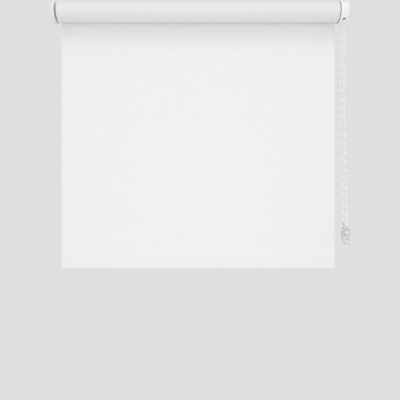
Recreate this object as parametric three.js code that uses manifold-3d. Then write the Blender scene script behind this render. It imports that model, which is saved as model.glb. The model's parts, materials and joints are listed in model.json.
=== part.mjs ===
// A small bead-chain roller blind: a fabric on a steel tube, hung between two glued brackets.
// Millimetres, +Z up, +X along the roller, +Y towards the wall. Every piece is placed from the roller's
// axis, and the whole blind is moved at the end so that the origin is the back of the idle bracket's pad.
import * as THREE from "three";
import { mergeVertices } from "three/addons/utils/BufferGeometryUtils.js";
import Module from "manifold-3d";

const wasm = await Module();
wasm.setup();

// Fabric
const fabricLeft = -4;
const fabricWidth = 384;
const fabricThickness = 0.3;
const rollRadius = 13;
const dropLength = 337.1;

// Tube
const tubeRadius = 8.5;
const tubeWall = 0.8;
const tapeWidth = 12;
const tapeThickness = 0.2;

// Bottom rail
const hemHeight = 17.1;
const hemDepth = 3.6;
const barWidth = 12;
const barThickness = 2;
const barCapLength = 2.4;

// Brackets
const wallDistance = 24;
const cheekRadius = 15;
const cheekThickness = 2.6;
const footThickness = 2.5;
const footLow = -5;
const footHigh = 21;
const padThickness = 1;
const screwHoleRadius = 2;
const coverThickness = 1.2;

// Idle end
const cheekToFabric = 2.7;
const plugLength = 24;
const plugWall = 2.2;
const plugFlangeThickness = 1.3;
const plugFlangeLip = 0.6;
const pinRadius = 2.5;
const pinCollarLength = 1.6;
const retainerThickness = 1.5;

// Control end
const housingDepth = 10.3;
const housingWall = 1.6;
const housingFloorThickness = 1.9;
const housingGap = 0.8;
const coverRecess = 1.2;
const wheelWidth = 5.4;
const wheelFlange = 0.8;
const wheelRimDepth = 2.4;
const wheelRibDepth = 1.4;
const pocketClearance = 0.44;
const drivePlugWall = 1.4;
const sleeveWall = 0.8;
const springSpace = 1.3;
const sleeveLength = 21;
const hubRetainerThickness = 1.5;
const driveFlangeLip = 0.1;
const driveFlangeThickness = 1.7;

// Chain
const beadRadius = 1.6;
const cordRadius = 0.5;
const beadPitch = 12;
const beadsOnWheel = 4;
const frontBeadDrop = 2.2;
const mouthClearance = 0.6;
const connectorRadius = 2;
const connectorLength = 7;
const beadsToConnector = 28.5;

// Chain guide
const guideTop = -295.6;
const guideBottom = -319.5;
const guideCentre = -312;
const guideThickness = 1.6;
const guideDrift = 3.9;
const guideArmLength = 5;
const guideArmThickness = 1.8;
const guideFootWidth = 10.5;
const guideFootBottom = -313.5;

const gap = 0.3;
const bearingGap = 0.3;

// Places worked out from the sizes above
const fabricRight = fabricLeft + fabricWidth;
const tubeBore = tubeRadius - tubeWall;
const tapeInside = tubeRadius + gap;
const rollInside = tapeInside + tapeThickness + gap;
const panelFront = rollRadius + gap;
const panelMiddle = panelFront + fabricThickness / 2;
const hemTop = -dropLength - gap;
const hemMiddle = hemTop - hemHeight / 2;
const padFront = wallDistance - padThickness;
const footBack = padFront - gap;
const footFront = footBack - footThickness;
const cheekInside = fabricLeft - cheekToFabric;
const cheekOutside = cheekInside - cheekThickness;
const plugRadius = tubeBore - gap;
const chamberRadius = plugRadius - plugWall;
const housingInside = fabricRight + housingGap;
const housingOutside = housingInside + housingDepth;
const coverStart = housingInside + coverRecess;
const housingBore = cheekRadius - housingWall;
const housingFloor = housingOutside - housingFloorThickness;
const wheelStart = housingFloor - gap - wheelWidth;
const chainPlane = wheelStart + wheelWidth / 2;
const chainRadius = (beadPitch * beadsOnWheel) / (2 * Math.PI);
const sleeveRadius = plugRadius - drivePlugWall - gap;
const sleeveBore = sleeveRadius - sleeveWall;
const hubRadius = sleeveBore - springSpace;
const wheelBore = hubRadius + bearingGap;
const wheelCoreRadius = chainRadius - beadRadius - pocketClearance;
const wheelRibRadius = chainRadius + wheelRibDepth;
const wheelFlangeRadius = chainRadius + wheelRimDepth;
const pinCollarRadius = chamberRadius - 2 * gap;
const tubeRight = fabricRight - driveFlangeThickness;
const sleeveEnd = wheelStart - sleeveLength;
const pocketAngle = -frontBeadDrop / chainRadius;

// The chain's route in its own plane, from the front mouth down, round the guide and up the back.
// Across the plane it leans outwards to the guide.
const frontStrand = [
  [0, -7.2],
  [0, -60],
  [0, -120],
  [0.7, -160],
  [1.7, -200],
  [2.7, -240],
  [3.5, -280],
  [3.9, -312],
];
const chainEndDrop = 3.9;

const whitePlastic = new THREE.MeshStandardMaterial({ color: 0xf2f2f0, roughness: 0.35 });
const whiteFabric = new THREE.MeshStandardMaterial({ color: 0xf0f0f2, roughness: 0.9 });
const clearPlastic = new THREE.MeshStandardMaterial({ color: 0xe8ecee, roughness: 0.15 });
const greyPlastic = new THREE.MeshStandardMaterial({ color: 0xb9bcbf, roughness: 0.5 });
const steel = new THREE.MeshStandardMaterial({ color: 0xb8babd, roughness: 0.35, metalness: 0.9 });
const aluminium = new THREE.MeshStandardMaterial({ color: 0xc9cbcf, roughness: 0.4, metalness: 0.9 });
const foam = new THREE.MeshStandardMaterial({ color: 0xdedede, roughness: 0.95 });

const blind = new THREE.Group();
blind.position.set(0, -wallDistance, -(footLow + footHigh) / 2);

function place(name, geometry, material) {
  const mesh = new THREE.Mesh(geometry, material);
  mesh.name = name;
  blind.add(mesh);
  return mesh;
}

function solid(geometry) {
  const plain = geometry.clone();
  plain.deleteAttribute("normal");
  plain.deleteAttribute("uv");
  const merged = mergeVertices(plain, 1e-4);
  return new wasm.Manifold(
    new wasm.Mesh({
      numProp: 3,
      vertProperties: new Float32Array(merged.attributes.position.array),
      triVerts: new Uint32Array(merged.index.array),
    }),
  );
}

function surface(manifold) {
  const mesh = manifold.getMesh();
  const geometry = new THREE.BufferGeometry();
  geometry.setAttribute("position", new THREE.BufferAttribute(mesh.vertProperties, 3));
  geometry.setIndex(new THREE.BufferAttribute(mesh.triVerts, 1));
  return geometry;
}

function joined(geometries) {
  return geometries.map(solid).reduce((whole, next) => whole.add(next));
}

function cut(manifold, geometries) {
  return geometries.map(solid).reduce((whole, next) => whole.subtract(next), manifold);
}

// A turned piece about the roller's axis: a list of [radius, place along X], anticlockwise.
function turned(profile, sides = 40) {
  const points = profile.map(([radius, along]) => new THREE.Vector2(radius, along));
  return new THREE.LatheGeometry(points, sides).rotateZ(-Math.PI / 2);
}

function disc(from, to, radius, sides) {
  return turned([[0, from], [radius, from], [radius, to], [0, to]], sides);
}

function ring(from, to, radius, bore, sides) {
  return turned([[radius, from], [radius, to], [bore, to], [bore, from], [radius, from]], sides);
}

function block(x0, x1, y0, y1, z0, z1) {
  const box = new THREE.BoxGeometry(x1 - x0, y1 - y0, z1 - z0);
  return box.translate((x0 + x1) / 2, (y0 + y1) / 2, (z0 + z1) / 2);
}

// An outline in the YZ plane, carried along X.
function alongX(shape, from, to, curveSegments = 10) {
  const geometry = new THREE.ExtrudeGeometry(shape, {
    depth: to - from,
    bevelEnabled: false,
    curveSegments,
  });
  const turn = new THREE.Matrix4().makeBasis(
    new THREE.Vector3(0, 1, 0),
    new THREE.Vector3(0, 0, 1),
    new THREE.Vector3(1, 0, 0),
  );
  return geometry.applyMatrix4(turn).translate(from, 0, 0);
}

function roundedBox(y0, y1, z0, z1, radius) {
  const shape = new THREE.Shape();
  shape.moveTo(y0 + radius, z0);
  shape.lineTo(y1 - radius, z0);
  shape.absarc(y1 - radius, z0 + radius, radius, -Math.PI / 2, 0, false);
  shape.lineTo(y1, z1 - radius);
  shape.absarc(y1 - radius, z1 - radius, radius, 0, Math.PI / 2, false);
  shape.lineTo(y0 + radius, z1);
  shape.absarc(y0 + radius, z1 - radius, radius, Math.PI / 2, Math.PI, false);
  shape.lineTo(y0, z0 + radius);
  shape.absarc(y0 + radius, z0 + radius, radius, Math.PI, Math.PI * 1.5, false);
  return shape;
}

function coil(from, to, meanRadius, wireRadius, turns) {
  const points = [];
  const stepsPerTurn = 12;
  for (let i = 0; i <= turns * stepsPerTurn; i += 1) {
    const angle = (i / stepsPerTurn) * 2 * Math.PI;
    const along = from + wireRadius + ((to - from - 2 * wireRadius) * i) / (turns * stepsPerTurn);
    points.push(new THREE.Vector3(along, meanRadius * Math.cos(angle), meanRadius * Math.sin(angle)));
  }
  const wire = new THREE.Shape().absarc(0, 0, wireRadius, 0, 2 * Math.PI, false);
  return new THREE.ExtrudeGeometry(wire, {
    extrudePath: new THREE.CatmullRomCurve3(points),
    steps: turns * stepsPerTurn,
    curveSegments: 3,
  });
}

// Foot and its holes, shared by both brackets: a plate on the wall, from one X to the other.
function foot(from, to) {
  const plate = roundedBox(from, to, footLow, footHigh, 2);
  const geometry = new THREE.ExtrudeGeometry(plate, {
    depth: footThickness,
    bevelEnabled: false,
    curveSegments: 4,
  });
  return geometry.rotateX(Math.PI / 2).translate(0, footBack, 0);
}

function screwHoles(middle) {
  return [-1, 1].map((side) => {
    const height = (footLow + footHigh) / 2 + (side * (footHigh - footLow)) / 3.4;
    const drill = new THREE.CylinderGeometry(screwHoleRadius, screwHoleRadius, 4 * footThickness, 20);
    return drill.translate(middle, footBack - footThickness / 2, height);
  });
}

function pad(name, from, to, low, high) {
  const inset = 0.6;
  place(name, block(from + inset, to - inset, padFront, wallDistance, low + inset, high - inset), foam);
}

function cheekOutline() {
  const neckTop = cheekRadius * 0.8;
  const shape = new THREE.Shape();
  const start = Math.asin(neckTop / cheekRadius);
  const end = Math.asin(footLow / cheekRadius);
  shape.absarc(0, 0, cheekRadius, start, end + 2 * Math.PI, false);
  shape.lineTo(footBack - footThickness / 2, footLow);
  shape.lineTo(footBack - footThickness / 2, neckTop);
  return shape;
}

// Idle end: bracket, its pad and cap, and the sprung pin that carries the roller.
function idleEnd() {
  const halfFoot = -cheekOutside;
  pad("idle_pad", -halfFoot, halfFoot, footLow, footHigh);
  const bracket = joined([
    alongX(cheekOutline(), cheekOutside, cheekInside, 36),
    foot(cheekOutside, halfFoot),
  ]);
  const pinHole = disc(cheekOutside - 1, cheekInside + 1, pinRadius + bearingGap, 24);
  const holes = screwHoles((cheekInside + halfFoot) / 2);
  place("idle_bracket", surface(cut(bracket, [pinHole, ...holes])), whitePlastic);

  const capOutside = cheekOutside - gap - coverThickness;
  const capEdge = 0.5;
  place(
    "idle_cap",
    turned([
      [0, capOutside],
      [cheekRadius - capEdge, capOutside],
      [cheekRadius, capOutside + capEdge],
      [cheekRadius, cheekOutside - gap],
      [0, cheekOutside - gap],
    ], 48),
    whitePlastic,
  );

  const flangeOutside = fabricLeft - gap - plugFlangeThickness;
  const chamberStart = fabricLeft + 2;
  const plugEnd = fabricLeft + plugLength;
  const pinBore = pinRadius + bearingGap;
  place(
    "idle_plug",
    turned([
      [pinBore, flangeOutside],
      [tubeRadius + plugFlangeLip, flangeOutside],
      [tubeRadius + plugFlangeLip, fabricLeft - gap],
      [plugRadius, fabricLeft - gap],
      [plugRadius, plugEnd],
      [chamberRadius, plugEnd],
      [chamberRadius, chamberStart],
      [pinBore, chamberStart],
      [pinBore, flangeOutside],
    ]),
    greyPlastic,
  );

  const collarStart = chamberStart + gap;
  const collarEnd = collarStart + pinCollarLength;
  const pinTip = cheekOutside + 0.2;
  const retainerEnd = plugEnd - 0.5;
  const retainerStart = retainerEnd - retainerThickness;
  const tipChamfer = 0.6;
  place(
    "idle_pin",
    turned([
      [0, pinTip],
      [pinRadius - tipChamfer, pinTip],
      [pinRadius, pinTip + tipChamfer],
      [pinRadius, collarStart],
      [pinCollarRadius, collarStart],
      [pinCollarRadius, collarEnd],
      [pinRadius, collarEnd],
      [pinRadius, retainerEnd],
      [0, retainerEnd],
    ], 28),
    steel,
  );

  const springRadius = (pinRadius + chamberRadius) / 2;
  place("pin_spring", coil(collarEnd + gap, retainerStart - gap, springRadius, 0.4, 7), steel);
  place(
    "pin_retainer",
    ring(retainerStart, retainerEnd, chamberRadius - gap, pinRadius + bearingGap, 28),
    greyPlastic,
  );
}

// Tube, the strip that holds the fabric on it, the rolled fabric and the hanging panel.
function rollerAndFabric() {
  place("roller_tube", ring(fabricLeft, tubeRight - gap, tubeRadius, tubeBore, 40), aluminium);

  const halfTape = tapeWidth / 2 / tapeInside;
  const tape = new THREE.Shape();
  tape.absarc(0, 0, tapeInside + tapeThickness, -halfTape, halfTape, false);
  tape.absarc(0, 0, tapeInside, halfTape, -halfTape, true);
  place("fabric_tape", alongX(tape, fabricLeft + 2, tubeRight - 2, 6), foam);

  place("fabric_roll", ring(fabricLeft, fabricRight, rollRadius, rollInside, 56), whiteFabric);
  place(
    "fabric_panel",
    block(fabricLeft, fabricRight, panelFront, panelFront + fabricThickness, -dropLength, 0),
    whiteFabric,
  );
}

function stadium(height, depth) {
  const radius = depth / 2;
  const straight = height / 2 - radius;
  const shape = new THREE.Shape();
  shape.absarc(panelMiddle, hemMiddle + straight, radius, 0, Math.PI, false);
  shape.absarc(panelMiddle, hemMiddle - straight, radius, Math.PI, 2 * Math.PI, false);
  return shape;
}

// Bottom rail: a sewn pocket with a flat bar in it and a plug in each end.
function bottomRail() {
  const pocketHeight = hemHeight - 2 * fabricThickness;
  const pocketDepth = hemDepth - 2 * fabricThickness;
  const sleeve = stadium(hemHeight, hemDepth);
  sleeve.holes.push(stadium(pocketHeight, pocketDepth));
  place("hem_pocket", alongX(sleeve, fabricLeft, fabricRight, 8), whiteFabric);

  const capInset = 0.3;
  const barStart = fabricLeft + capInset + barCapLength + gap;
  const barEnd = fabricRight - capInset - barCapLength - gap;
  const barBottom = hemTop - hemHeight + fabricThickness + gap;
  const bar = roundedBox(
    panelMiddle - barThickness / 2,
    panelMiddle + barThickness / 2,
    barBottom,
    barBottom + barWidth,
    0.9,
  );
  place("bottom_bar", alongX(bar, barStart, barEnd, 3), steel);
  const plug = () => stadium(pocketHeight - 2 * gap, pocketDepth - 2 * gap);
  place(
    "bar_cap_left",
    alongX(plug(), fabricLeft + capInset, fabricLeft + capInset + barCapLength, 8),
    whitePlastic,
  );
  place(
    "bar_cap_right",
    alongX(plug(), fabricRight - capInset - barCapLength, fabricRight - capInset, 8),
    whitePlastic,
  );
}

// Control bracket: a round cup on a foot, open below for the two strands, and its inner cover.
function controlHousing() {
  const footStart = housingOutside - 18.2;
  pad("control_pad", footStart, housingOutside, footLow, footHigh);
  const cup = joined([
    alongX(cheekOutline(), housingFloor, housingOutside, 36),
    ring(housingInside, housingFloor + 0.5, cheekRadius, housingBore, 48),
    foot(footStart, housingOutside),
    block(housingInside, housingOutside, housingBore, footBack - footThickness / 2, footLow, 6),
  ]);
  const mouthReach = beadRadius + mouthClearance;
  const mouths = [-chainRadius, chainRadius].map((middle) =>
    block(
      chainPlane - mouthReach,
      chainPlane + mouthReach,
      middle - mouthReach,
      middle + mouthReach,
      -cheekRadius - 1,
      footLow - 3,
    ),
  );
  const screws = screwHoles(footStart + 5);
  const bore = disc(housingInside - 1, housingFloor, housingBore, 48);
  place("control_bracket", surface(cut(cup, [bore, ...mouths, ...screws])), whitePlastic);

  place(
    "housing_cover",
    ring(coverStart, coverStart + coverThickness, housingBore - gap, sleeveRadius + 2 * gap, 48),
    whitePlastic,
  );
}

// Chain drive: a fixed hub with a wrap spring on it, and the chain wheel whose sleeve turns the plug.
function chainDrive() {
  const hubEnd = sleeveEnd - hubRetainerThickness - 2 * gap - 0.6;
  place("clutch_hub", ring(hubEnd, housingFloor - gap, hubRadius, 1.2, 32), greyPlastic);
  const retainerEnd = sleeveEnd - gap;
  place(
    "hub_retainer",
    ring(retainerEnd - hubRetainerThickness, retainerEnd, sleeveRadius - gap, wheelBore, 28),
    steel,
  );

  const wheelEnd = wheelStart + wheelWidth;
  const body = turned([
    [wheelBore, wheelStart],
    [sleeveBore, wheelStart],
    [sleeveBore, sleeveEnd],
    [sleeveRadius, sleeveEnd],
    [sleeveRadius, wheelStart],
    [wheelFlangeRadius, wheelStart],
    [wheelFlangeRadius, wheelStart + wheelFlange],
    [wheelCoreRadius, wheelStart + wheelFlange],
    [wheelCoreRadius, wheelEnd - wheelFlange],
    [wheelFlangeRadius, wheelEnd - wheelFlange],
    [wheelFlangeRadius, wheelEnd],
    [wheelBore, wheelEnd],
    [wheelBore, wheelStart],
  ], 40);
  const pocketHalf = Math.asin((beadRadius + 2 * gap) / chainRadius);
  const pitchAngle = (2 * Math.PI) / beadsOnWheel;
  const ribs = [];
  for (let i = 0; i < beadsOnWheel; i += 1) {
    const bead = Math.PI - pocketAngle - i * pitchAngle;
    const rib = new THREE.Shape();
    rib.absarc(0, 0, wheelRibRadius, bead + pocketHalf, bead + pitchAngle - pocketHalf, false);
    rib.absarc(0, 0, wheelCoreRadius - gap, bead + pitchAngle - pocketHalf, bead + pocketHalf, true);
    ribs.push(alongX(rib, wheelStart + wheelFlange / 2, wheelEnd - wheelFlange / 2, 6));
  }
  const cordHalf = cordRadius + gap;
  const grooveFloor = chainRadius - cordRadius - gap;
  const groove = ring(chainPlane - cordHalf, chainPlane + cordHalf, wheelRibRadius + 1, grooveFloor, 40);
  place("chain_wheel", surface(cut(joined([body, ...ribs]), [groove])), greyPlastic);

  const wireRadius = (sleeveBore - hubRadius - 2 * gap) / 2;
  const springRadius = (sleeveBore + hubRadius) / 2;
  place("clutch_spring", coil(sleeveEnd + 1.5, wheelStart - gap, springRadius, wireRadius, 8), steel);

  const plugBore = sleeveRadius + gap;
  place(
    "drive_plug",
    turned([
      [plugBore, sleeveEnd - 3],
      [plugRadius, sleeveEnd - 3],
      [plugRadius, tubeRight],
      [tubeRadius + driveFlangeLip, tubeRight],
      [tubeRadius + driveFlangeLip, fabricRight + gap / 2],
      [plugBore, fabricRight + gap / 2],
      [plugBore, sleeveEnd - 3],
    ]),
    greyPlastic,
  );
}

function bead(point) {
  return new THREE.SphereGeometry(beadRadius, 6, 3).translate(point.x, point.y, point.z);
}

function cordAlong(curve, steps) {
  const section = new THREE.Shape().absarc(0, 0, cordRadius, 0, 2 * Math.PI, false);
  return new THREE.ExtrudeGeometry(section, { extrudePath: curve, steps, curveSegments: 4 });
}

// The chain: a stretch that lies in the wheel's pockets, and the loop that hangs from the housing.
function beadChain() {
  const chain = new THREE.Group();
  chain.position.x = chainPlane;
  blind.add(chain);

  const over = [new THREE.Vector3(0, -chainRadius, -chainEndDrop)];
  const arcSteps = 12;
  for (let i = 0; i <= arcSteps; i += 1) {
    const angle = (i / arcSteps) * Math.PI;
    over.push(new THREE.Vector3(0, -chainRadius * Math.cos(angle), chainRadius * Math.sin(angle)));
  }
  over.push(new THREE.Vector3(0, chainRadius, -chainEndDrop));
  const onWheel = [cordAlong(new THREE.CatmullRomCurve3(over), 24)];
  for (let i = 0; i < 3; i += 1) {
    const angle = pocketAngle + (i * 2 * Math.PI) / beadsOnWheel;
    const along = new THREE.Vector3(0, -chainRadius * Math.cos(angle), chainRadius * Math.sin(angle));
    onWheel.push(bead(along));
  }
  const overWheel = place("chain_over_wheel", surface(joined(onWheel)), whitePlastic);
  chain.add(overWheel);

  const route = frontStrand.map(([across, height]) => new THREE.Vector3(across, -chainRadius, height));
  for (let i = 1; i < 6; i += 1) {
    const angle = (i / 6) * Math.PI;
    const y = -chainRadius * Math.cos(angle);
    const z = guideCentre - chainRadius * Math.sin(angle);
    route.push(new THREE.Vector3(guideDrift, y, z));
  }
  for (const [across, height] of [...frontStrand].reverse()) {
    route.push(new THREE.Vector3(across, chainRadius, height));
  }
  const loop = new THREE.CatmullRomCurve3(route);
  loop.arcLengthDivisions = 2000;
  const length = loop.getLength();
  const pieces = [cordAlong(loop, 64)];
  const firstBead = frontBeadDrop + beadPitch + frontStrand[0][1];
  for (let at = firstBead; at < length; at += beadPitch) {
    pieces.push(bead(loop.getPointAt(at / length)));
  }
  const chainLoop = place("chain_loop", surface(joined(pieces)), whitePlastic);
  chain.add(chainLoop);

  const share = (firstBead + beadsToConnector * beadPitch) / length;
  const middle = loop.getPointAt(share);
  const along = loop.getTangentAt(share);
  const link = ring(-connectorLength / 2, connectorLength / 2, connectorRadius, cordRadius + gap, 16);
  const lean = new THREE.Quaternion().setFromUnitVectors(new THREE.Vector3(1, 0, 0), along);
  const connector = place("chain_connector", link, clearPlastic);
  connector.quaternion.copy(lean);
  connector.position.copy(middle);
  chain.add(connector);
}

// Chain guide: one clear moulding on the wall that keeps the loop taut round a short drum.
function chainGuide() {
  const spineStart = chainPlane + guideDrift + beadRadius + gap;
  const spineEnd = spineStart + guideThickness;
  const reach = chainRadius + beadRadius + gap;
  const corner = 2.5;
  const spine = new THREE.Shape();
  spine.moveTo(footBack, guideFootBottom);
  spine.lineTo(footBack, guideTop);
  spine.lineTo(-reach + corner, guideTop);
  spine.absarc(-reach + corner, guideTop - corner, corner, Math.PI / 2, Math.PI, false);
  spine.lineTo(-reach, guideBottom);
  const armHalf = chainRadius - beadRadius - 2 * gap;
  const armStart = spineStart - guideArmLength;
  const drumRadius = chainRadius - beadRadius - 2 * gap;
  const drum = disc(spineStart - guideArmLength + 1, spineStart + 0.5, drumRadius, 28);
  const footEnd = spineStart + guideFootWidth;
  const footPlate = block(spineStart, footEnd, footFront, footBack, guideFootBottom, guideTop);
  place(
    "chain_guide",
    surface(
      joined([
        alongX(spine, spineStart, spineEnd, 5),
        block(armStart, spineStart + 0.5, -armHalf, armHalf, guideTop - guideArmThickness, guideTop),
        drum.translate(0, 0, guideCentre),
        footPlate,
      ]),
    ),
    clearPlastic,
  );
  pad("guide_pad", spineStart, footEnd, guideFootBottom, guideTop);
}

idleEnd();
rollerAndFabric();
bottomRail();
controlHousing();
chainDrive();
beadChain();
chainGuide();

export default blind;
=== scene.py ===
import json
import math

import bmesh
import bpy
from mathutils import Matrix, Vector
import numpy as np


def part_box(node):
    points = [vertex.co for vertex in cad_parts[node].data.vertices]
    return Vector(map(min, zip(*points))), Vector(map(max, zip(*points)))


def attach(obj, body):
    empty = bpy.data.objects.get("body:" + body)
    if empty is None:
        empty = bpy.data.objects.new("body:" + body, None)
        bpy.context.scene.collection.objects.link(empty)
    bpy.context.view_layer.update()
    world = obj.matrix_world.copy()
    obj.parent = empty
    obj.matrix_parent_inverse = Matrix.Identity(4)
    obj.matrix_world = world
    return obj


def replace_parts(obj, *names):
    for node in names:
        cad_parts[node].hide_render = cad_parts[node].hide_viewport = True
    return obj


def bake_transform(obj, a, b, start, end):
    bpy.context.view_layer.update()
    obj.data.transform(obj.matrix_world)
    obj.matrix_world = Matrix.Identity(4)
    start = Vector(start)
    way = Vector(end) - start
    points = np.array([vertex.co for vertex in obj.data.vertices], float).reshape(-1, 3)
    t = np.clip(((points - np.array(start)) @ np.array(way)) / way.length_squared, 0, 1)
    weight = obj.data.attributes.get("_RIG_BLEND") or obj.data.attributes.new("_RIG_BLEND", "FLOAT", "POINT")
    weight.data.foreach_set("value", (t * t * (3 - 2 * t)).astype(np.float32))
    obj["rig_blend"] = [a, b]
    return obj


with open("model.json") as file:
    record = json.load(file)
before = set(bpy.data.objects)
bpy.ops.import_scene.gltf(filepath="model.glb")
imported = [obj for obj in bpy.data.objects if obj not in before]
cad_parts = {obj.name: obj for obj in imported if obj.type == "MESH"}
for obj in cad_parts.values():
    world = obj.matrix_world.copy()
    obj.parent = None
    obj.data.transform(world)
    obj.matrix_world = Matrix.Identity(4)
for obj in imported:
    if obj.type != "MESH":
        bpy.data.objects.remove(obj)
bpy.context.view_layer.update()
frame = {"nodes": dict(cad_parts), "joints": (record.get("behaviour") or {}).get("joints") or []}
node = frame["nodes"]
joint = {j["name"]: j for j in frame["joints"]}
axis = Vector(joint["roller_spin"]["pos_m"])
MM = 0.001


# The view: eye level a little below the middle of the drop, square to the window, as when standing
# in front of it. The room is even pale light with three soft lamps on the viewer's side, one of them
# overhead, and a pale floor far below.
EYE_ACROSS = 2.5 * MM
EYE_BACK = 0.600
EYE_DROP = 0.258
camera = bpy.data.objects.new("camera", bpy.data.cameras.new("camera"))
camera.location = (axis.x + EYE_ACROSS, axis.y - EYE_BACK, axis.z - EYE_DROP)
camera.rotation_euler = (math.pi / 2, 0, 0)
camera.data.sensor_width = 36
camera.data.lens = 39.24
camera.data.clip_end = 50
bpy.context.scene.collection.objects.link(camera)
bpy.context.scene.camera = camera
bpy.context.scene.view_settings.view_transform = "Standard"

room = bpy.data.worlds.new("room")
room.use_nodes = True
room.node_tree.nodes["Background"].inputs["Color"].default_value = (0.74, 0.74, 0.74, 1)
room.node_tree.nodes["Background"].inputs["Strength"].default_value = 1.0
bpy.context.scene.world = room


def lamp(name, place, aim, size, power):
    light = bpy.data.lights.new(name, "AREA")
    light.size = size
    light.energy = power
    holder = bpy.data.objects.new(name, light)
    holder.location = place
    holder.rotation_euler = (Vector(aim) - Vector(place)).to_track_quat("-Z", "Y").to_euler()
    bpy.context.scene.collection.objects.link(holder)


lamp("ceiling_lamp", (axis.x, axis.y - 0.85, axis.z + 1.0), (axis.x, 0, -0.1), 0.6, 3.1)
lamp("room_lamp", (axis.x, axis.y - 1.0, axis.z - 0.6), (axis.x, 0, -0.2), 0.8, 1.7)
lamp("low_fill", (axis.x, axis.y - 0.7, axis.z - 0.3), (axis.x, 0, -0.2), 0.4, 0.7)

FLOOR_RADIUS = 2.3
FLOOR_HEIGHT = -1.7
floor_mesh = bpy.data.meshes.new("floor")
floor_shape = bmesh.new()
bmesh.ops.create_circle(floor_shape, cap_ends=True, segments=96, radius=FLOOR_RADIUS)
floor_shape.to_mesh(floor_mesh)
floor_shape.free()
floor = bpy.data.objects.new("floor", floor_mesh)
floor.location = (axis.x, axis.y, FLOOR_HEIGHT)
bpy.context.scene.collection.objects.link(floor)
floor_paint = bpy.data.materials.new("pale_floor")
floor_paint.use_nodes = True
floor_paint.node_tree.nodes["Principled BSDF"].inputs["Base Color"].default_value = (0.86, 0.86, 0.86, 1)
floor_paint.node_tree.nodes["Principled BSDF"].inputs["Roughness"].default_value = 0.8
floor.data.materials.append(floor_paint)


# Bead chain: one closed loop of white cord with moulded beads every 12 mm. It comes out of the front
# mouth of the housing, leans outwards to the wall guide, goes round its drum and back up behind.
WHEEL_HALF = 2.7 * MM
PITCH = 12 * MM
STRAND = 2 * PITCH / math.pi
GUIDE_DROP = -312 * MM
LEAN = 3.9 * MM
chain_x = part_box("chain_wheel")[1][0] - WHEEL_HALF
strand_points = [
    (0, -7.2), (0, -60), (0, -120), (0.7, -160),
    (1.7, -200), (2.7, -240), (3.5, -280), (3.9, -312),
]


def on_chain(across, depth, height):
    return Vector((chain_x + across, axis.y + depth, axis.z + height))


chain_route = [on_chain(x * MM, -STRAND, z * MM) for x, z in strand_points]
for sixth in range(1, 6):
    turn = sixth / 6 * math.pi
    chain_route.append(on_chain(LEAN, -STRAND * math.cos(turn), GUIDE_DROP - STRAND * math.sin(turn)))
chain_route += [on_chain(x * MM, STRAND, z * MM) for x, z in reversed(strand_points)]


def through(points, steps):
    """A smooth line through the points, with that many steps between each two."""
    ends = [2 * points[0] - points[1], *points, 2 * points[-1] - points[-2]]
    line = []
    for before, start, end, after in zip(ends, ends[1:], ends[2:], ends[3:]):
        into = math.sqrt((start - before).length)
        span = math.sqrt((end - start).length)
        out = math.sqrt((after - end).length)
        leave = span * ((start - before) / into - (end - before) / (into + span) + (end - start) / span)
        arrive = span * ((end - start) / span - (after - start) / (span + out) + (after - end) / out)
        for step in range(steps):
            t = step / steps
            line.append(
                start
                + leave * t
                + (3 * (end - start) - 2 * leave - arrive) * t**2
                + (2 * (start - end) + leave + arrive) * t**3
            )
    return [*line, points[-1]]


def places_along(line, first, spacing):
    """Each place on the line and the line's direction there, at that spacing."""
    found, travelled, due = [], 0.0, first
    for start, end in zip(line, line[1:]):
        length = (end - start).length
        while due <= travelled + length:
            found.append((start.lerp(end, (due - travelled) / length), (end - start).normalized()))
            due += spacing
        travelled += length
    return found, travelled


def new_piece(name, points, faces):
    mesh = bpy.data.meshes.new(name)
    mesh.from_pydata([tuple(p) for p in points], [], faces)
    mesh.validate()
    shape = bmesh.new()
    shape.from_mesh(mesh)
    bmesh.ops.recalc_face_normals(shape, faces=shape.faces)
    shape.to_mesh(mesh)
    shape.free()
    piece = bpy.data.objects.new(name, mesh)
    bpy.context.scene.collection.objects.link(piece)
    return piece


def lathe(profile, sides):
    """Points and faces turned about +X: the profile is [radius, place], closed if its ends meet."""
    points, rings, faces = [], [], []
    closed = profile[0] == profile[-1]
    for radius, along in profile[:-1] if closed else profile:
        count = sides if radius > 1e-7 else 1
        rings.append(range(len(points), len(points) + count))
        for i in range(count):
            angle = 2 * math.pi * i / sides
            points.append(Vector((along, radius * math.cos(angle), radius * math.sin(angle))))
    for here, there in zip(rings, rings[1:] + rings[:1] if closed else rings[1:]):
        for i in range(sides):
            corners = [here[i % len(here)], here[(i + 1) % len(here)]]
            corners += [there[(i + 1) % len(there)], there[i % len(there)]]
            corners = list(dict.fromkeys(corners))
            if len(corners) > 2:
                faces.append(corners)
    return points, faces


def repeated(name, points, faces, turns):
    """One mesh of the same small shape set at each of the turns, which are 4x4 matrices."""
    all_points, all_faces = [], []
    for turn in turns:
        start = len(all_points)
        all_points += [turn @ p for p in points]
        all_faces += [[start + i for i in face] for face in faces]
    return new_piece(name, all_points, all_faces)


def smooth(piece):
    for face in piece.data.polygons:
        face.use_smooth = True
    return piece


def textured(name, colour, roughness, metallic=0.0):
    """A new material with its shader, and the piece's own coordinates in metres to hang detail on."""
    material = bpy.data.materials.new(name)
    material.use_nodes = True
    tree = material.node_tree
    shader = tree.nodes["Principled BSDF"]
    shader.inputs["Base Color"].default_value = (*colour, 1)
    shader.inputs["Roughness"].default_value = roughness
    shader.inputs["Metallic"].default_value = metallic
    where = tree.nodes.new("ShaderNodeTexCoord").outputs["Object"]
    return material, tree, shader, where


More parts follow.
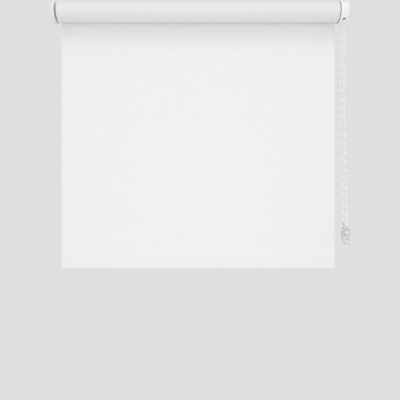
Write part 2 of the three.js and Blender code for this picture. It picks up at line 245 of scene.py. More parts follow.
def grain(tree, where, size, detail=2.0, stretch=(1, 1, 1)):
    """Noise with features of that size in metres, drawn out along an axis by stretch."""
    mapping = tree.nodes.new("ShaderNodeMapping")
    mapping.inputs["Scale"].default_value = [1 / s for s in stretch]
    noise = tree.nodes.new("ShaderNodeTexNoise")
    noise.inputs["Scale"].default_value = 1 / size
    noise.inputs["Detail"].default_value = detail
    tree.links.new(where, mapping.inputs["Vector"])
    tree.links.new(mapping.outputs["Vector"], noise.inputs["Vector"])
    return noise.outputs["Fac"]


def between(tree, amount, low, high):
    """The amount, near a half on average, spread over low to high: colours or plain numbers."""
    ramp = tree.nodes.new("ShaderNodeValToRGB")
    ramp.color_ramp.elements[0].position = 0.3
    ramp.color_ramp.elements[1].position = 0.7
    ramp.color_ramp.elements[0].color = (*low, 1) if isinstance(low, tuple) else (low, low, low, 1)
    ramp.color_ramp.elements[1].color = (*high, 1) if isinstance(high, tuple) else (high, high, high, 1)
    tree.links.new(amount, ramp.inputs["Fac"])
    return ramp.outputs["Color"]


def raised(tree, shader, height, distance, strength=1.0):
    bump = tree.nodes.new("ShaderNodeBump")
    bump.inputs["Strength"].default_value = strength
    bump.inputs["Distance"].default_value = distance
    tree.links.new(height, bump.inputs["Height"])
    tree.links.new(bump.outputs["Normal"], shader.inputs["Normal"])


def moulded(name, light, dark, roughness):
    """Injection-moulded plastic: an even colour with a trace of flow marks and a fine skin."""
    material, tree, shader, where = textured(name, light, roughness)
    marks = grain(tree, where, 9 * MM, 3.0)
    tree.links.new(between(tree, marks, dark, light), shader.inputs["Base Color"])
    skin = grain(tree, where, 0.5 * MM, 2.0)
    tree.links.new(between(tree, skin, roughness - 0.05, roughness + 0.07), shader.inputs["Roughness"])
    raised(tree, shader, skin, 0.02 * MM)
    return material


def finish(piece, material):
    piece.data.materials.clear()
    piece.data.materials.append(material)
    return piece


chain_line = through(chain_route, 8)
FIRST_BEAD = 7 * MM
CORD = 0.5 * MM
bead_places, chain_length = places_along(chain_line, FIRST_BEAD, PITCH)

cord_curve = bpy.data.curves.new("chain_cord", "CURVE")
cord_curve.dimensions = "3D"
cord_curve.bevel_depth = CORD
cord_curve.bevel_resolution = 3
cord_curve.use_fill_caps = True
spline = cord_curve.splines.new("POLY")
spline.points.add(len(chain_line) - 1)
for knot, place in zip(spline.points, chain_line):
    knot.co = (*place, 1)
chain_cord = bpy.data.objects.new("chain_cord", cord_curve)
bpy.context.scene.collection.objects.link(chain_cord)

BEAD = 1.6 * MM
NECK = 0.72 * MM
bead_profile = [(0, -BEAD - 0.45 * MM), (NECK * 0.8, -BEAD - 0.45 * MM), (NECK, -BEAD - 0.3 * MM)]
for step in range(2, 15):
    turn = math.pi * step / 16
    bead_profile.append((BEAD * math.sin(turn), -BEAD * math.cos(turn)))
bead_profile += [(NECK, BEAD + 0.3 * MM), (NECK * 0.8, BEAD + 0.45 * MM), (0, BEAD + 0.45 * MM)]
bead_shape = lathe(bead_profile, 20)


def facing(place, direction):
    turn = Vector((1, 0, 0)).rotation_difference(direction).to_matrix().to_4x4()
    return Matrix.Translation(place) @ turn


chain_beads = repeated("chain_beads", *bead_shape, [facing(*place) for place in bead_places])

# The two ends of the chain are clipped into a clear barrel, halfway between two beads.
CLIP_AT = FIRST_BEAD + 28.5 * PITCH
CLIP = 2.0 * MM
CLIP_HALF = 3.5 * MM
CLIP_BORE = 0.62 * MM
CLIP_ROUND = 0.7 * MM
WAIST = 0.35 * MM
clip_place = places_along(chain_line, CLIP_AT, 1.0)[0][0]
rounding = []
for step in range(1, 6):
    turn = math.pi / 2 * step / 6
    drop, rise = CLIP_ROUND * (1 - math.sin(turn)), CLIP_ROUND * (1 - math.cos(turn))
    rounding.append((CLIP - drop, CLIP_HALF - rise))
clip_profile = [
    (CLIP_BORE, -CLIP_HALF),
    (CLIP - CLIP_ROUND, -CLIP_HALF),
    *[(radius, -along) for radius, along in rounding],
    (CLIP, -CLIP_HALF + 0.9 * MM),
    (CLIP, -0.55 * MM),
    (CLIP - WAIST, -WAIST),
    (CLIP - WAIST, WAIST),
    (CLIP, 0.55 * MM),
    (CLIP, CLIP_HALF - 0.9 * MM),
    *reversed(rounding),
    (CLIP - CLIP_ROUND, CLIP_HALF),
    (CLIP_BORE, CLIP_HALF),
    (CLIP_BORE, -CLIP_HALF),
]
chain_clip = repeated("chain_clip", *lathe(clip_profile, 32), [facing(*clip_place)])

# The stretch of chain in the wheel's pockets turns with the wheel inside the housing.
WHEEL_BEAD_DROP = 2.2 * MM
wheel_turns = []
for pocket in range(3):
    turn = -WHEEL_BEAD_DROP / STRAND + pocket * math.pi / 2
    place = on_chain(0, -STRAND * math.cos(turn), STRAND * math.sin(turn))
    wheel_turns.append(facing(place, Vector((0, math.sin(turn), math.cos(turn)))))
wheel_beads = repeated("wheel_beads", *bead_shape, wheel_turns)
WHEEL_CORD_END = -3.9 * MM
over_wheel = [on_chain(0, -STRAND, WHEEL_CORD_END)]
for step in range(25):
    turn = math.pi * step / 24
    over_wheel.append(on_chain(0, -STRAND * math.cos(turn), STRAND * math.sin(turn)))
over_wheel.append(on_chain(0, STRAND, WHEEL_CORD_END))


def tube_along(name, line, radius, sides):
    points, faces = [], []
    for i, place in enumerate(line):
        direction = (line[min(i + 1, len(line) - 1)] - line[max(i - 1, 0)]).normalized()
        side = direction.cross(Vector((1, 0, 0))).normalized()
        for k in range(sides):
            angle = 2 * math.pi * k / sides
            outward = math.cos(angle) * Vector((1, 0, 0)) + math.sin(angle) * side
            points.append(place + radius * outward)
        if i:
            low = (i - 1) * sides
            for k in range(sides):
                n = (k + 1) % sides
                faces.append([low + k, low + n, low + sides + n, low + sides + k])
    last = len(points) - sides
    faces += [list(range(sides)), list(range(last, last + sides))]
    return new_piece(name, points, faces)


wheel_cord = tube_along("wheel_cord", over_wheel, CORD, 10)

bead_plastic = moulded("bead_plastic", (0.93, 0.93, 0.925), (0.90, 0.90, 0.895), 0.25)
cord_fibre, tree, shader, where = textured("cord_fibre", (0.74, 0.74, 0.74), 0.75)
plait = grain(tree, where, 0.25 * MM, 2.0, stretch=(1, 1, 3))
tree.links.new(between(tree, plait, (0.74, 0.74, 0.74), (0.88, 0.88, 0.88)), shader.inputs["Base Color"])
raised(tree, shader, plait, 0.06 * MM)
shader.inputs["Sheen Weight"].default_value = 0.2

clear_plastic, tree, shader, where = textured("clear_plastic", (0.96, 0.97, 0.975), 0.1)
shader.inputs["IOR"].default_value = 1.3
shader.inputs["Transmission Weight"].default_value = 0.55
haze = grain(tree, where, 4 * MM, 2.0)
tint = between(tree, haze, (0.95, 0.96, 0.965), (0.975, 0.98, 0.985))
tree.links.new(tint, shader.inputs["Base Color"])
tree.links.new(between(tree, haze, 0.08, 0.14), shader.inputs["Roughness"])

finish(chain_cord, cord_fibre)
for piece in (chain_beads, wheel_beads):
    finish(smooth(piece), bead_plastic)
finish(smooth(wheel_cord), cord_fibre)
finish(smooth(chain_clip), clear_plastic)
for piece in (chain_cord, chain_beads, chain_clip):
    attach(piece, "mounting")
for piece in (wheel_beads, wheel_cord):
    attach(piece, "roller")
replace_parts(chain_cord, "chain_loop")
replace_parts(chain_clip, "chain_connector")
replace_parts(wheel_cord, "chain_over_wheel")


# Adhesive pads: squares of closed-cell foam tape between each foot and the window frame. They are
# die-cut with round corners, and the foam shows its cells at the edge.
def rounded(low_a, high_a, low_b, high_b, radius, steps=6):
    """The outline of a rectangle with round corners, anticlockwise."""
    outline = []
    corners = [(high_a, low_b, -90), (high_a, high_b, 0), (low_a, high_b, 90), (low_a, low_b, 180)]
    for a, b, start in corners:
        a += -radius if a == high_a else radius
        b += -radius if b == high_b else radius
        for step in range(steps + 1):
            angle = math.radians(start + 90 * step / steps)
            outline.append((a + radius * math.cos(angle), b + radius * math.sin(angle)))
    return outline


def prism(name, outline, low, high, along="x"):
    """An outline carried from low to high: it is (y, z) along x, (x, z) along y, (x, y) along z."""
    points = []
    for level in (low, high):
        for a, b in outline:
            points.append({"x": (level, a, b), "y": (a, level, b), "z": (a, b, level)}[along])
    count = len(outline)
    faces = [list(range(count)), list(range(count, 2 * count))]
    for i in range(count):
        n = (i + 1) % count
        faces.append([i, n, count + n, count + i])
    return new_piece(name, points, faces)


def settle(piece):
    """Makes the piece's modifiers part of its mesh."""
    piece.data = bpy.data.meshes.new_from_object(
        piece.evaluated_get(bpy.context.evaluated_depsgraph_get())
    )
    piece.modifiers.clear()
    return piece


def combine(piece, others, operation):
    """Joins or cuts the piece with each of the others, which are used up."""
    for other in others:
        step = piece.modifiers.new(other.name, "BOOLEAN")
        step.operation = operation
        step.solver = "EXACT"
        step.object = other
        settle(piece)
        bpy.data.objects.remove(other)
    return piece


def evenly_lit(piece, crease=180):
    """Shades the piece smooth, but for edges sharper than the crease, and keeps its flats flat."""
    smooth(piece)
    piece.data.set_sharp_from_angle(angle=math.radians(crease))
    normals = piece.modifiers.new("even faces", "WEIGHTED_NORMAL")
    normals.keep_sharp = True
    return piece


def eased(piece, width, angle=35, segments=3):
    """Rounds the edges sharper than the angle and shades the whole piece evenly."""
    bevel = piece.modifiers.new("eased edges", "BEVEL")
    bevel.width = width
    bevel.segments = segments
    bevel.limit_method = "ANGLE"
    bevel.angle_limit = math.radians(angle)
    return evenly_lit(piece)


foam, tree, shader, where = textured("foam_tape", (0.90, 0.90, 0.89), 0.9)
cells = grain(tree, where, 0.3 * MM, 4.0)
tree.links.new(between(tree, cells, (0.76, 0.76, 0.75), (0.90, 0.90, 0.89)), shader.inputs["Base Color"])
raised(tree, shader, cells, 0.15 * MM)
PAD_CORNER = 1.8 * MM
for name in ("idle_pad", "control_pad", "guide_pad"):
    low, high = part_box(name)
    outline = rounded(low[0], high[0], low[2], high[2], PAD_CORNER)
    pad = prism(name + "_foam", outline, low[1], high[1], "y")
    finish(eased(pad, 0.12 * MM), foam)
    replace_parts(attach(pad, "mounting"), name)


# Idle bracket: one white moulding, a round cheek on a foot, with ribs in the corner between them
# and two countersunk screw holes. The roller's sprung pin sits in the hole in the cheek.
white_plastic = moulded("white_plastic", (0.90, 0.90, 0.89), (0.875, 0.875, 0.865), 0.28)
WALL_SIDE = 22.7 * MM
FOOT = 2.5 * MM
CHEEK = 15 * MM
FOOT_LOW, FOOT_HIGH = -5 * MM, 21 * MM
NECK_TOP = 12 * MM
HAIR = 0.05 * MM
RIB_HALF = 0.6 * MM
RIB_DEPTH = 5 * MM
SCREW = 2 * MM
SCREW_HEAD = 3.9 * MM
PIN_HOLE = 2.8 * MM
BOSS = 5 * MM


def on_axis(name, profile, sides=128):
    """A piece turned about the roller's axis."""
    points, faces = lathe(profile, sides)
    return new_piece(name, [p + Vector((0, axis.y, axis.z)) for p in points], faces)


def plain_disc(name, radius, low_x, high_x, sides):
    return on_axis(name, [(0, low_x), (radius, low_x), (radius, high_x), (0, high_x)], sides)


def cheek_disc(name, low_x, high_x, edge):
    """The round part of a bracket, with its rim rounded by the edge."""
    profile = [(0, low_x)]
    for centre_x, start in ((low_x + edge, -math.pi / 2), (high_x - edge, 0)):
        for step in range(6):
            turn = start + math.pi / 2 * step / 5
            profile.append((CHEEK - edge + edge * math.cos(turn), centre_x + edge * math.sin(turn)))
    return on_axis(name, [*profile, (0, high_x)], 160)


def neck(name, low_x, high_x):
    """The part that carries the cheek out from the foot. It is a hair thinner than the cheek."""
    outline = rounded(
        axis.y + 6 * MM, axis.y + WALL_SIDE - FOOT / 2, axis.z + FOOT_LOW, axis.z + NECK_TOP, 0.8 * MM
    )
    return settle(eased(prism(name, outline, low_x + HAIR, high_x - HAIR), 0.3 * MM))


def foot_plate(name, low_x, high_x):
    outline = rounded(low_x, high_x, axis.z + FOOT_LOW, axis.z + FOOT_HIGH, 2.6 * MM)
    back = axis.y + WALL_SIDE
    return settle(eased(prism(name, outline, back - FOOT, back, "y"), 0.4 * MM))


def screw_cutters(name, middle_x):
    """A countersunk hole above and below the foot's middle."""
    cutters = []
    front = axis.y + WALL_SIDE - FOOT
    for side in (-1, 1):
        height = axis.z + (FOOT_LOW + FOOT_HIGH) / 2 + side * (FOOT_HIGH - FOOT_LOW) / 3.4
        profile = [
            (0, -MM), (SCREW_HEAD, -MM), (SCREW_HEAD - 0.2 * MM, 0), (SCREW, 1.6 * MM),
            (SCREW, 4 * MM), (0, 4 * MM),
        ]
        points, faces = lathe(profile, 40)
        turn = Matrix.Translation((middle_x, front, height)) @ Matrix.Rotation(math.pi / 2, 4, "Z")
        cutters.append(new_piece(name, [turn @ p for p in points], faces))
    return cutters


def gusset(name, x_at_cheek, x_out, height):
    """A thin three-cornered rib between the cheek and the foot."""
    back = axis.y + WALL_SIDE - FOOT / 2
    front = axis.y + WALL_SIDE - FOOT - RIB_DEPTH
    foot_front = axis.y + WALL_SIDE - FOOT
    outline = [(x_at_cheek, back), (x_out, back), (x_out, foot_front), (x_at_cheek, front)]
    middle_z = axis.z + height
    return prism(name, outline, middle_z - RIB_HALF, middle_z + RIB_HALF, "z")


low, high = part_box("idle_bracket")
CHEEK_THICKNESS = 2.6 * MM
cheek_in = low[0] + CHEEK_THICKNESS
idle_bracket = combine(
    cheek_disc("idle_bracket_moulding", low[0], cheek_in, 0.4 * MM),
    [
        neck("neck", low[0], cheek_in),
        foot_plate("foot", low[0], high[0]),
        gusset("rib", cheek_in - MM, cheek_in + 4.5 * MM, 3.5 * MM),
        plain_disc("boss", BOSS, low[0] + MM, cheek_in + 0.5 * MM, 64),
    ],
    "UNION",
)
combine(
    idle_bracket,
    [
        plain_disc("pin_hole", PIN_HOLE, low[0] - MM, cheek_in + MM, 48),
        *screw_cutters("screw", (cheek_in + high[0]) / 2),
    ],
    "DIFFERENCE",
)
finish(evenly_lit(idle_bracket, 32), white_plastic)
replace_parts(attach(idle_bracket, "mounting"), "idle_bracket")

# Its cap: a thin white disc clipped on the outside of the cheek, with a shallow ring groove.
low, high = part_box("idle_cap")
idle_cap = on_axis(
    "idle_cap_disc",
    [
        (0, low[0] + 0.25 * MM), (11.2 * MM, low[0] + 0.25 * MM), (11.6 * MM, low[0]),
        (CHEEK, low[0]), (CHEEK, high[0]), (0, high[0]),
    ],
)
finish(eased(idle_cap, 0.45 * MM, 25, 4), white_plastic)
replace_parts(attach(idle_cap, "mounting"), "idle_cap")


# Idle plug and pin: a grey plug pressed into the tube, with a steel pin that a spring pushes out into
# the bracket. Pressing the pin in frees the roller. A washer in the plug's end holds the spring.
grey_plastic = moulded("grey_plastic", (0.70, 0.71, 0.72), (0.65, 0.66, 0.67), 0.42)
low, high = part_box("idle_plug")
FLANGE = 1.3 * MM
FLANGE_EDGE = 9.1 * MM
PLUG = 7.4 * MM
CHAMBER = 5.2 * MM
GROOVE = 0.4 * MM
chamber_x = low[0] + 3.6 * MM
idle_plug = on_axis(
    "idle_plug_moulding",
    [
        (PIN_HOLE, low[0]), (4.6 * MM, low[0]), (4.9 * MM, low[0] + GROOVE),
        (7.9 * MM, low[0] + GROOVE), (8.2 * MM, low[0]), (FLANGE_EDGE, low[0]),
        (FLANGE_EDGE, low[0] + FLANGE), (PLUG, low[0] + FLANGE), (PLUG, high[0]),
        (CHAMBER, high[0]), (CHAMBER, chamber_x), (PIN_HOLE, chamber_x), (PIN_HOLE, low[0]),
    ],
)
finish(eased(idle_plug, 0.2 * MM, 30, 2), grey_plastic)
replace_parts(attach(idle_plug, "roller"), "idle_plug")

plated_steel, tree, shader, where = textured("plated_steel", (0.60, 0.61, 0.63), 0.32, 1.0)
drawn = grain(tree, where, 0.35 * MM, 3.0, stretch=(12, 1, 1))
tree.links.new(between(tree, drawn, (0.52, 0.53, 0.55), (0.68, 0.69, 0.70)), shader.inputs["Base Color"])
tree.links.new(between(tree, drawn, 0.26, 0.42), shader.inputs["Roughness"])
raised(tree, shader, drawn, 0.02 * MM)


def repaint(name, material):
    """A piece of the frame that shows as it is keeps its shape and gets its real finish."""
    node[name].data.materials.clear()
    node[name].data.materials.append(material)


repaint("idle_pin", plated_steel)
repaint("pin_retainer", grey_plastic)

# The spring sits round the pin. Its outer end moves with the pin's collar, its inner end stays put.
low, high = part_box("pin_spring")
WIRE = 0.38 * MM
COILS = 7
coil_radius = (high[2] - low[2]) / 2 - WIRE
COIL_STEPS = 24
WIRE_SIDES = 8
spring_points, spring_faces = [], []
for step in range(COILS * COIL_STEPS + 1):
    share = step / (COILS * COIL_STEPS)
    angle = 2 * math.pi * COILS * share
    outward = Vector((0, math.cos(angle), math.sin(angle)))
    closer_at_ends = share - 0.028 * math.sin(2 * math.pi * share)
    x = low[0] + WIRE + (high[0] - low[0] - 2 * WIRE) * closer_at_ends
    middle = Vector((x, axis.y, axis.z)) + coil_radius * outward
    for k in range(WIRE_SIDES):
        turn = 2 * math.pi * k / WIRE_SIDES
        round_wire = math.cos(turn) * outward + math.sin(turn) * Vector((1, 0, 0))
        spring_points.append(middle + WIRE * round_wire)
    if step:
        first = (step - 1) * WIRE_SIDES
        for k in range(WIRE_SIDES):
            n = (k + 1) % WIRE_SIDES
            spring_faces.append([first + k, first + n, first + WIRE_SIDES + n, first + WIRE_SIDES + k])
last = len(spring_points) - WIRE_SIDES
spring_faces += [list(range(WIRE_SIDES)), list(range(last, last + WIRE_SIDES))]
return_spring = new_piece("return_spring", spring_points, spring_faces)
finish(smooth(return_spring), plated_steel)
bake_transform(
    return_spring,
    "release_pin",
    "roller",
    start=(low[0], axis.y, axis.z),
    end=(high[0], axis.y, axis.z),
)
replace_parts(return_spring, "pin_spring")


# Roller tube: drawn aluminium, with a strip of double-sided tape along it that the fabric starts on.
tube_metal, tree, shader, where = textured("tube_metal", (0.66, 0.67, 0.68), 0.38, 1.0)
drawn = grain(tree, where, 0.4 * MM, 3.0, stretch=(40, 1, 1))
tree.links.new(between(tree, drawn, (0.58, 0.59, 0.60), (0.72, 0.73, 0.74)), shader.inputs["Base Color"])
tree.links.new(between(tree, drawn, 0.3, 0.48), shader.inputs["Roughness"])
raised(tree, shader, drawn, 0.02 * MM)
repaint("roller_tube", tube_metal)
repaint("fabric_tape", foam)


# Fabric: plain-woven white polyester, a quarter of a millimetre thick, with cut edges. It lets some of
# the window's light through where it hangs in one layer. Most of its length is wound on the tube.
# The hanging fabric's slightly cool tint is painted backlight, and the wound fabric is painted in a
# darker, warmer copy of the same cloth as painted shade on the roll.
CLOTH = 0.26 * MM
LAYER = 0.27 * MM
THREAD = 0.42 * MM


def sums(tree, operation, first, second):
    step = tree.nodes.new("ShaderNodeMath")
    step.operation = operation
    for socket, value in zip(step.inputs, (first, second)):
        if isinstance(value, (int, float)):
            socket.default_value = value
        else:
            tree.links.new(value, socket)
    return step.outputs["Value"]


def woven(name, light, dark):
    """Plain weave: threads over and under each other, some of them thicker for part of their length."""
    material, tree, shader, where = textured(name, light, 0.88)
    split = tree.nodes.new("ShaderNodeSeparateXYZ")
    tree.links.new(where, split.inputs["Vector"])
    girth = sums(tree, "ADD", split.outputs["Z"], sums(tree, "MULTIPLY", split.outputs["Y"], 0.7))
    across = sums(tree, "SINE", sums(tree, "MULTIPLY", split.outputs["X"], math.pi / THREAD), 0)
    down = sums(tree, "SINE", sums(tree, "MULTIPLY", girth, math.pi / THREAD), 0)
    weave = sums(tree, "MULTIPLY", across, down)
    slub_down = grain(tree, where, 0.45 * MM, 1.0, stretch=(1, 1, 60))
    slub_across = grain(tree, where, 0.45 * MM, 1.0, stretch=(60, 1, 1))
    slubs = sums(tree, "MULTIPLY", sums(tree, "ADD", slub_down, slub_across), 0.5)
    tree.links.new(between(tree, slubs, dark, light), shader.inputs["Base Color"])
    raised(tree, shader, sums(tree, "ADD", weave, sums(tree, "MULTIPLY", slubs, 1.5)), 0.02 * MM, 0.2)
    shader.inputs["Subsurface Weight"].default_value = 0.3
    shader.inputs["Subsurface Radius"].default_value = (1.0, 1.0, 1.0)
    shader.inputs["Subsurface Scale"].default_value = 0.2 * MM
    shader.inputs["Sheen Weight"].default_value = 0.15
    shader.inputs["Sheen Roughness"].default_value = 0.5
    shader.inputs["Specular IOR Level"].default_value = 0.25
    return material


# Lit and shaded copies of one cloth: the first, slightly cool, carries painted backlight; the second, darker
# and warmer, is painted shade for the roll.
fabric = woven("fabric_painted_backlight", (0.86, 0.86, 0.868), (0.82, 0.82, 0.832))
fabric_painted_shade = woven("fabric_painted_shade", (0.815, 0.812, 0.805), (0.775, 0.772, 0.765))

fabric_low, fabric_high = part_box("fabric_panel")
left, right = fabric_low[0], fabric_high[0]
FABRIC_WIDTH = right - left
OUTER = 13.15 * MM
CORE = 8.75 * MM


def cloth_sheet(name, rows, columns, place):
    """A closed sheet of cloth: place(row, column, side) gives each point, side being -1 or 1."""
    points, faces = [], []
    for side in (-1, 1):
        for row in range(rows + 1):
            for column in range(columns + 1):
                points.append(place(row / rows, column / columns, side))
    wide, layer = columns + 1, (rows + 1) * (columns + 1)
    for start in (0, layer):
        for row in range(rows):
            for column in range(columns):
                corner = start + row * wide + column
                faces.append([corner, corner + 1, corner + wide + 1, corner + wide])
    rim = list(range(wide))
    rim += [row * wide + columns for row in range(1, rows + 1)]
    rim += [rows * wide + column for column in range(columns - 1, -1, -1)]
    rim += [row * wide for row in range(rows - 1, 0, -1)]
    surfaces = len(faces)
    for start, end in zip(rim, rim[1:] + rim[:1]):
        faces.append([start, end, layer + end, layer + start])
    sheet = smooth(new_piece(name, points, faces))
    cut_edges = set()
    for face in sheet.data.polygons[surfaces:]:
        face.use_smooth = False
        cut_edges.update(face.edge_keys)
    for edge in sheet.data.edges:
        edge.use_edge_sharp = edge.key in cut_edges
    return sheet


WRAPS = (OUTER - CORE) / LAYER
turns_of_roll = 2 * math.pi * WRAPS


def on_roll(row, column, side):
    angle = row * turns_of_roll
    radius = OUTER - LAYER * angle / (2 * math.pi) + side * CLOTH / 2
    wander = 0.12 * MM * math.sin(angle * 0.31) * math.sin(angle * 0.07 + 1)
    x = left + FABRIC_WIDTH * column + wander
    return Vector((x, axis.y + radius * math.cos(angle), axis.z + radius * math.sin(angle)))


rolled_fabric = cloth_sheet("rolled_fabric", round(WRAPS * 72), 8, on_roll)
# The wound fabric gets the darker copy of the cloth: painted shade.
finish(rolled_fabric, fabric_painted_shade)
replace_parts(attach(rolled_fabric, "roller"), "fabric_roll")

panel_top = axis.z + 0.6 * MM
panel_bottom = fabric_low[2] - 0.4 * MM
HEM_MIDDLE = (fabric_low[1] + fabric_high[1]) / 2


def hanging(row, column, side):
    z = panel_top + (panel_bottom - panel_top) * row
    fall = math.sin(math.pi * min(row * 1.15, 1)) ** 2
    ripple = 0.22 * MM * math.sin(column * 17 + 0.6) + 0.15 * MM * math.sin(column * 41 + 2 * row)
    curl = -0.5 * MM * (abs(2 * column - 1) ** 40)
    y = axis.y + OUTER + (HEM_MIDDLE - axis.y - OUTER) * min(row * 3, 1) ** 2
    return Vector((left + FABRIC_WIDTH * column, y + fall * (ripple + curl) + side * CLOTH / 2, z))


fabric_panel = cloth_sheet("hanging_fabric", 72, 96, hanging)
finish(fabric_panel, fabric)
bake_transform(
    fabric_panel,
    "mounting",
    "bottom_rail",
    start=(axis.x, HEM_MIDDLE, axis.z),
    end=(axis.x, HEM_MIDDLE, fabric_low[2]),
)
shares = fabric_panel.data.attributes["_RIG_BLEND"].data
for share, point in zip(shares, fabric_panel.data.vertices):
    share.value = min(max((axis.z - point.co.z) / (axis.z - fabric_low[2]), 0), 1)
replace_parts(fabric_panel, "fabric_panel")


# Bottom rail: the fabric's end is folded up round a flat steel bar and sewn along the top of the fold.
# A small white plug closes the pocket at each end.
hem_low, hem_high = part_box("hem_pocket")
HEM_HEIGHT = hem_high[2] - hem_low[2]
SEAM = 2.0 * MM
HALF_POCKET = 1.45 * MM
LOW_HALF = 1.27 * MM
BULGE = 4.6 * MM
FOLD_STEPS = 14


def pocket_line():
    """The folded layer's own line in (y, z): from its cut edge behind, down the back of the bar,
    round under it, and up the front to where it is one with the hanging fabric."""
    low_centre = -HEM_HEIGHT + LOW_HALF + CLOTH / 2
    bulge_z = -SEAM - BULGE

    def side(flat, facing_y):
        line = [(flat, 0.0), (flat, -SEAM * 0.5)]
        for step in range(13):
            share = step / 12
            ease = share * share * (3 - 2 * share)
            line.append((flat + (facing_y * HALF_POCKET - flat) * ease, -SEAM - BULGE * share))
        for step in range(1, 8):
            share = step / 8
            half = HALF_POCKET + (LOW_HALF - HALF_POCKET) * share * share
            line.append((facing_y * half, bulge_z + (low_centre - bulge_z) * share))
        return line

    under = [
        (LOW_HALF * math.cos(a), low_centre - LOW_HALF * math.sin(a))
        for a in (math.pi * step / FOLD_STEPS for step in range(FOLD_STEPS + 1))
    ]
    return [*side(CLOTH * 1.05, 1), *under, *reversed(side(0.0, -1))]


fold = pocket_line()


def on_hem(row, column, side):
    step = row * (len(fold) - 1)
    here = min(round(step), len(fold) - 1)
    before, after = fold[max(here - 1, 0)], fold[min(here + 1, len(fold) - 1)]
    along_y, along_z = after[0] - before[0], after[1] - before[1]
    length = math.hypot(along_y, along_z)
    y = fold[here][0] - side * CLOTH / 2 * along_z / length
    z = fold[here][1] + side * CLOTH / 2 * along_y / length
    pucker = 0.05 * MM * math.sin(column * 400) * max(0, 1 - abs(z + SEAM) / (3 * MM))
    return Vector((left + FABRIC_WIDTH * column, HEM_MIDDLE + y + pucker, hem_high[2] + z))


hem = cloth_sheet("hem_fold", len(fold) - 1, 160, on_hem)
finish(hem, fabric)
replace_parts(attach(hem, "bottom_rail"), "hem_pocket")

STITCH = 3.0 * MM
STITCH_HALF = 1.15 * MM
THREAD_HALF = 0.13 * MM
stitch_profile = [
    (0, -STITCH_HALF), (THREAD_HALF * 0.7, -STITCH_HALF * 0.92), (THREAD_HALF, -STITCH_HALF * 0.6)
]
stitch_profile += [(r, -x) for r, x in reversed(stitch_profile)]
stitch_turns = []
for face_side in (-1, 1):
    for count in range(int(FABRIC_WIDTH / STITCH)):
        surface = CLOTH / 2 + (CLOTH * 1.05 if face_side > 0 else 0)
        x = left + STITCH * (count + 0.5)
        place = (x, HEM_MIDDLE + face_side * surface, hem_high[2] - 0.6 * SEAM)
        stitch_turns.append(Matrix.Translation(place))
hem_stitches = repeated("hem_stitches", *lathe(stitch_profile, 8), stitch_turns)
thread, tree, shader, where = textured("sewing_thread", (0.82, 0.82, 0.82), 0.6)
twist = grain(tree, where, 0.12 * MM, 1.0)
tree.links.new(between(tree, twist, (0.74, 0.74, 0.74), (0.86, 0.86, 0.86)), shader.inputs["Base Color"])
raised(tree, shader, twist, 0.04 * MM)
finish(smooth(hem_stitches), thread)
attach(hem_stitches, "bottom_rail")

PLUG_HALF = 1.08 * MM
for side in ("left", "right"):
    low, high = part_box("bar_cap_" + side)
    middle_y = (low[1] + high[1]) / 2
    outline = rounded(
        middle_y - PLUG_HALF,
        middle_y + PLUG_HALF,
        low[2] + 0.2 * MM,
        high[2] - 4.4 * MM,
        PLUG_HALF * 0.98,
        10,
    )
    plug = prism("hem_plug_" + side, outline, low[0], high[0])
    finish(eased(plug, 0.25 * MM), white_plastic)
    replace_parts(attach(plug, "bottom_rail"), "bar_cap_" + side)
repaint("bottom_bar", plated_steel)


# Control bracket: a round white cup on a foot. Two mouths in the bottom of its rim let the strands
# out, and a disc pressed into the rim closes the side towards the roller.
low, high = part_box("control_bracket")
RIM = 1.6 * MM
CUP_FLOOR = 1.9 * MM
CUP_DEPTH = 10.3 * MM
cup_start = high[0] - CUP_DEPTH
floor_x = high[0] - CUP_FLOOR
web_outline = rounded(
    axis.y + 12 * MM,
    axis.y + WALL_SIDE - FOOT / 2,
    axis.z + FOOT_LOW,
    axis.z + 6 * MM,
    0.3 * MM,
    2,
)
control_bracket = combine(
    cheek_disc("control_bracket_moulding", cup_start, high[0], 0.5 * MM),
    [
        neck("neck", floor_x, high[0]),
        foot_plate("foot", low[0], high[0]),
        prism("web", web_outline, cup_start + 0.4 * MM, floor_x + MM),
    ],
    "UNION",
)
MOUTH = 2.2 * MM
MOUTH_LOW, MOUTH_HIGH = -17 * MM, -8 * MM
mouths = []
for depth in (-STRAND, STRAND):
    middle_y = axis.y + depth
    outline = rounded(chain_x - MOUTH, chain_x + MOUTH, middle_y - MOUTH, middle_y + MOUTH, 1.6 * MM)
    mouths.append(prism("mouth", outline, axis.z + MOUTH_LOW, axis.z + MOUTH_HIGH, "z"))
bore = CHEEK - RIM
LEAD = 0.3 * MM
combine(
    control_bracket,
    [
        on_axis(
            "bore",
            [
                (0, cup_start - MM), (bore + LEAD, cup_start - MM), (bore + LEAD, cup_start),
                (bore, cup_start + LEAD), (bore, floor_x), (0, floor_x),
            ],
            160,
        ),
        *mouths,
        *screw_cutters("screw", low[0] + 5 * MM),
    ],
    "DIFFERENCE",
)
finish(evenly_lit(control_bracket, 32), white_plastic)
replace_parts(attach(control_bracket, "mounting"), "control_bracket")

low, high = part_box("housing_cover")
COVER_EDGE = (high[2] - low[2]) / 2
SLEEVE_HOLE = 6.3 * MM
STEP = 0.3 * MM
housing_cover = on_axis(
    "housing_cover_disc",
    [
        (SLEEVE_HOLE, low[0]), (8.6 * MM, low[0]), (8.9 * MM, low[0] + STEP), (11.8 * MM, low[0] + STEP),
        (12.1 * MM, low[0]), (COVER_EDGE, low[0]), (COVER_EDGE, high[0]), (SLEEVE_HOLE, high[0]),
        (SLEEVE_HOLE, low[0]),
    ],
)
finish(eased(housing_cover, 0.25 * MM, 30), white_plastic)
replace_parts(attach(housing_cover, "mounting"), "housing_cover")


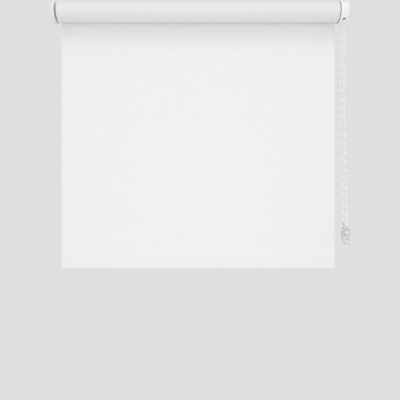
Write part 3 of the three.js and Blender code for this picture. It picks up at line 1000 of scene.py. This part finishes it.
# Chain drive: the wheel's sleeve turns the plug in the tube, and a wrap spring on the fixed hub holds
# the roller still when nobody pulls. All of it is hidden in the housing and the tube.
for name in ("chain_wheel", "drive_plug", "clutch_hub"):
    repaint(name, grey_plastic)
for name in ("clutch_spring", "hub_retainer"):
    repaint(name, plated_steel)


# Chain guide: one clear moulding glued to the window frame. Its plate stands beside the loop, a short
# drum on it holds the loop down, and an arm above the drum keeps the beads from jumping off.
low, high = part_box("chain_guide")
PLATE = 1.6 * MM
ARM = 5 * MM
plate_x = low[0] + ARM
back = axis.y + WALL_SIDE
drum_radius = STRAND - BEAD - 0.6 * MM
drum_z = axis.z + GUIDE_DROP
points, faces = lathe(
    [
        (0, plate_x - 4 * MM), (drum_radius, plate_x - 4 * MM), (drum_radius, plate_x - 3.2 * MM),
        (drum_radius - 0.5 * MM, plate_x - 2.0 * MM), (drum_radius, plate_x - 0.8 * MM),
        (drum_radius, plate_x + 0.5 * MM), (0, plate_x + 0.5 * MM),
    ],
    72,
)
drum = new_piece("drum", [p + Vector((0, axis.y, drum_z)) for p in points], faces)
FOOT_BOTTOM = axis.z - 313.5 * MM
CORNER = 2.6 * MM
plate_outline = [(back, FOOT_BOTTOM), (back, high[2])]
for step in range(9):
    turn = math.pi / 2 * (1 + step / 8)
    y = low[1] + CORNER * (1 + math.cos(turn))
    plate_outline.append((y, high[2] - CORNER * (1 - math.sin(turn))))
plate_outline.append((low[1], low[2]))
arm = prism(
    "arm",
    rounded(axis.y - drum_radius, axis.y + drum_radius, high[2] - 1.8 * MM, high[2] - HAIR, 0.6 * MM, 4),
    low[0],
    plate_x + 0.5 * MM,
)
foot = prism("foot", rounded(plate_x, high[0], FOOT_BOTTOM, high[2], 1.2 * MM), back - FOOT, back, "y")
chain_guide = combine(
    settle(eased(prism("chain_guide_moulding", plate_outline, plate_x, plate_x + PLATE), 0.3 * MM)),
    [drum, settle(eased(arm, 0.25 * MM)), settle(eased(foot, 0.3 * MM))],
    "UNION",
)
finish(evenly_lit(chain_guide, 32), clear_plastic)
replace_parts(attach(chain_guide, "mounting"), "chain_guide")
